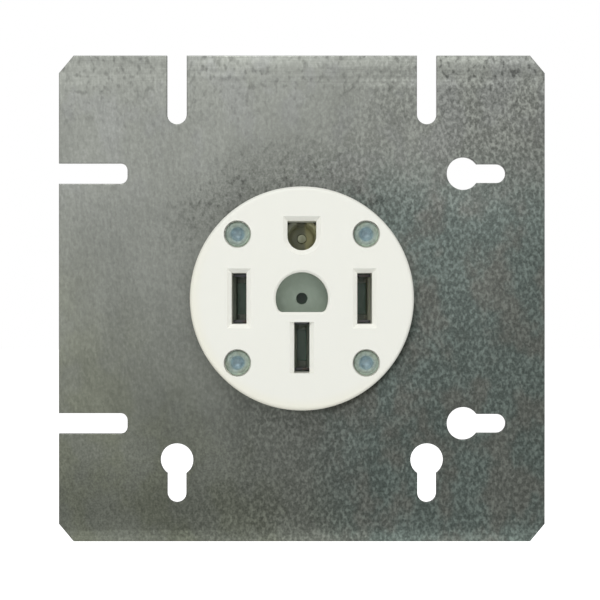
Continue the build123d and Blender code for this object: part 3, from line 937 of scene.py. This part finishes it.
def add_floor(settings):
    """A pale floor that the camera sees as white, apart from the part's soft shadow."""
    mesh = bmesh.new()
    bmesh.ops.create_circle(mesh, cap_ends=True, radius=settings.floor_radius, segments=96)
    floor = link_mesh("floor", mesh)
    floor.location = (0, 0, settings.floor_level)
    material, tree, shader = new_material("floor paint")
    put(tree, shader.inputs["Base Color"], settings.floor_tone)
    put(tree, shader.inputs["Roughness"], 0.9)
    put(tree, shader.inputs["Specular IOR Level"], 0.0)
    strength = times(tree, seen_plainly(tree), settings.floor_glow)
    glow = node(tree, "ShaderNodeEmission", Color=(1.0, 1.0, 1.0), Strength=strength)
    both = node(tree, "ShaderNodeAddShader", shader.outputs[0], glow.outputs[0])
    output = next(made for made in tree.nodes if made.type == "OUTPUT_MATERIAL")
    tree.links.new(both.outputs[0], output.inputs[0])
    floor.data.materials.append(material)


class RECEPTACLE_OT_stage(bpy.types.Operator):
    """Add the camera, the lamps, the world and the floor"""
    bl_idname = "receptacle.stage"
    bl_label = "Stage"

    def execute(self, context):
        settings = context.scene.receptacle_stage
        context.scene.view_settings.view_transform = "Standard"
        data = bpy.data.cameras.new("camera")
        data.sensor_width = 36.0
        data.lens = data.sensor_width * settings.camera_distance / settings.view_width
        data.clip_start = 0.01
        data.clip_end = 20.0
        camera = bpy.data.objects.new("camera", data)
        camera.location = (settings.camera_across, PLATE_LOW.y - settings.camera_distance, settings.camera_up)
        camera.rotation_euler = (math.pi / 2, 0, 0)
        context.scene.collection.objects.link(camera)
        context.scene.camera = camera
        for name, place, side, glossy in LAMPS:
            add_lamp(name, place, side, getattr(settings, f"{name}_power"), glossy)
        add_world(settings.ambient)
        add_floor(settings)
        return {"FINISHED"}


class RECEPTACLE_OT_plate(bpy.types.Operator):
    """Give the mounting plate its galvanised finish"""
    bl_idname = "receptacle.plate"
    bl_label = "Mounting plate"

    def execute(self, context):
        finish_nodes(["mounting_plate"], zinc_material(context.scene.receptacle_zinc))
        return {"FINISHED"}


class RECEPTACLE_OT_face(bpy.types.Operator):
    """Give the face its white moulded finish"""
    bl_idname = "receptacle.face"
    bl_label = "Face"

    def execute(self, context):
        finish_nodes(["face"], face_material(context.scene.receptacle_moulding))
        return {"FINISHED"}


class RECEPTACLE_OT_body(bpy.types.Operator):
    """Give the body its dark moulded finish"""
    bl_idname = "receptacle.body"
    bl_label = "Body"

    def execute(self, context):
        finish_nodes(["body"], body_material(context.scene.receptacle_moulding))
        return {"FINISHED"}


class RECEPTACLE_OT_rivets(bpy.types.Operator):
    """Give the four rivets and the ground cup's rivet their zinc plate"""
    bl_idname = "receptacle.rivets"
    bl_label = "Rivets"

    def execute(self, context):
        metal = context.scene.receptacle_metal
        names = sorted(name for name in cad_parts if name.startswith("rivet_"))
        finish_nodes(names, rivet_material(metal, *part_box(names[0])))
        small = plated_material("plain zinc plate", metal.cup_rivet_tone, metal.dull_tint,
                                (1.0, 1.0, 1.0), 0.28, 0.40)
        finish_nodes(["ground_rivet"], small)
        return {"FINISHED"}


class RECEPTACLE_OT_contacts(bpy.types.Operator):
    """Give the contacts, the ground strap and the springs their metals"""
    bl_idname = "receptacle.contacts"
    bl_label = "Contacts and springs"

    def execute(self, context):
        metal = context.scene.receptacle_metal
        contacts = [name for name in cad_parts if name.endswith("_contact")]
        finish_nodes(contacts + ["ground_strap"], brass_material(metal))
        springs = [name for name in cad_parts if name.endswith("_spring")]
        finish_nodes(springs, spring_material(metal))
        return {"FINISHED"}


class RECEPTACLE_OT_terminals(bpy.types.Operator):
    """Plate the wire lugs, and put a threaded set screw in each"""
    bl_idname = "receptacle.terminals"
    bl_label = "Terminals"

    def execute(self, context):
        metal = context.scene.receptacle_metal
        tin = plated_material("tin plate", metal.tin_tone, metal.dull_tint,
                              (1.0, 14.0, 1.0), 0.28, 0.46)
        finish_nodes([f"{pole}_lug" for pole in POLES], tin)
        steel = plated_material("screw steel", metal.screw_tone, metal.dull_tint,
                                (1.0, 1.0, 1.0), 0.26, 0.44)
        finish_nodes([f"{pole}_screw" for pole in POLES], steel)
        for pole in POLES:
            screw = set_screw(context.scene.receptacle_screw, pole)
            screw.data.materials.append(steel)
            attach(screw, f"{pole}_clamp")
            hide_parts(f"{pole}_screw")
        return {"FINISHED"}


class RECEPTACLE_PT_panel(bpy.types.Panel):
    """The receptacle's settings, and a button for each step"""
    bl_idname = "RECEPTACLE_PT_panel"
    bl_label = "Receptacle"
    bl_space_type = "VIEW_3D"
    bl_region_type = "UI"
    bl_category = "Receptacle"

    def draw(self, context):
        for operator in OPERATORS:
            self.layout.operator(operator.bl_idname)
        for name in SETTINGS:
            group = getattr(context.scene, name)
            column = self.layout.column()
            for key in group.bl_rna.properties.keys():
                if key not in ("rna_type", "name"):
                    column.prop(group, key)


SETTINGS = {
    "receptacle_stage": StageSettings,
    "receptacle_zinc": ZincSettings,
    "receptacle_moulding": MouldingSettings,
    "receptacle_metal": MetalSettings,
    "receptacle_screw": ScrewSettings,
}
OPERATORS = (
    RECEPTACLE_OT_stage,
    RECEPTACLE_OT_plate,
    RECEPTACLE_OT_face,
    RECEPTACLE_OT_body,
    RECEPTACLE_OT_rivets,
    RECEPTACLE_OT_contacts,
    RECEPTACLE_OT_terminals,
)


def register():
    for kind in (*SETTINGS.values(), *OPERATORS, RECEPTACLE_PT_panel):
        bpy.utils.register_class(kind)
    for name, kind in SETTINGS.items():
        setattr(bpy.types.Scene, name, PointerProperty(type=kind))


def unregister():
    for name in SETTINGS:
        delattr(bpy.types.Scene, name)
    for kind in reversed((*SETTINGS.values(), *OPERATORS, RECEPTACLE_PT_panel)):
        bpy.utils.unregister_class(kind)


def main():
    """Dress the part."""
    register()
    bpy.ops.receptacle.stage()
    bpy.ops.receptacle.plate()
    bpy.ops.receptacle.face()
    bpy.ops.receptacle.body()
    bpy.ops.receptacle.rivets()
    bpy.ops.receptacle.contacts()
    bpy.ops.receptacle.terminals()


if __name__ == "__main__":
    main()
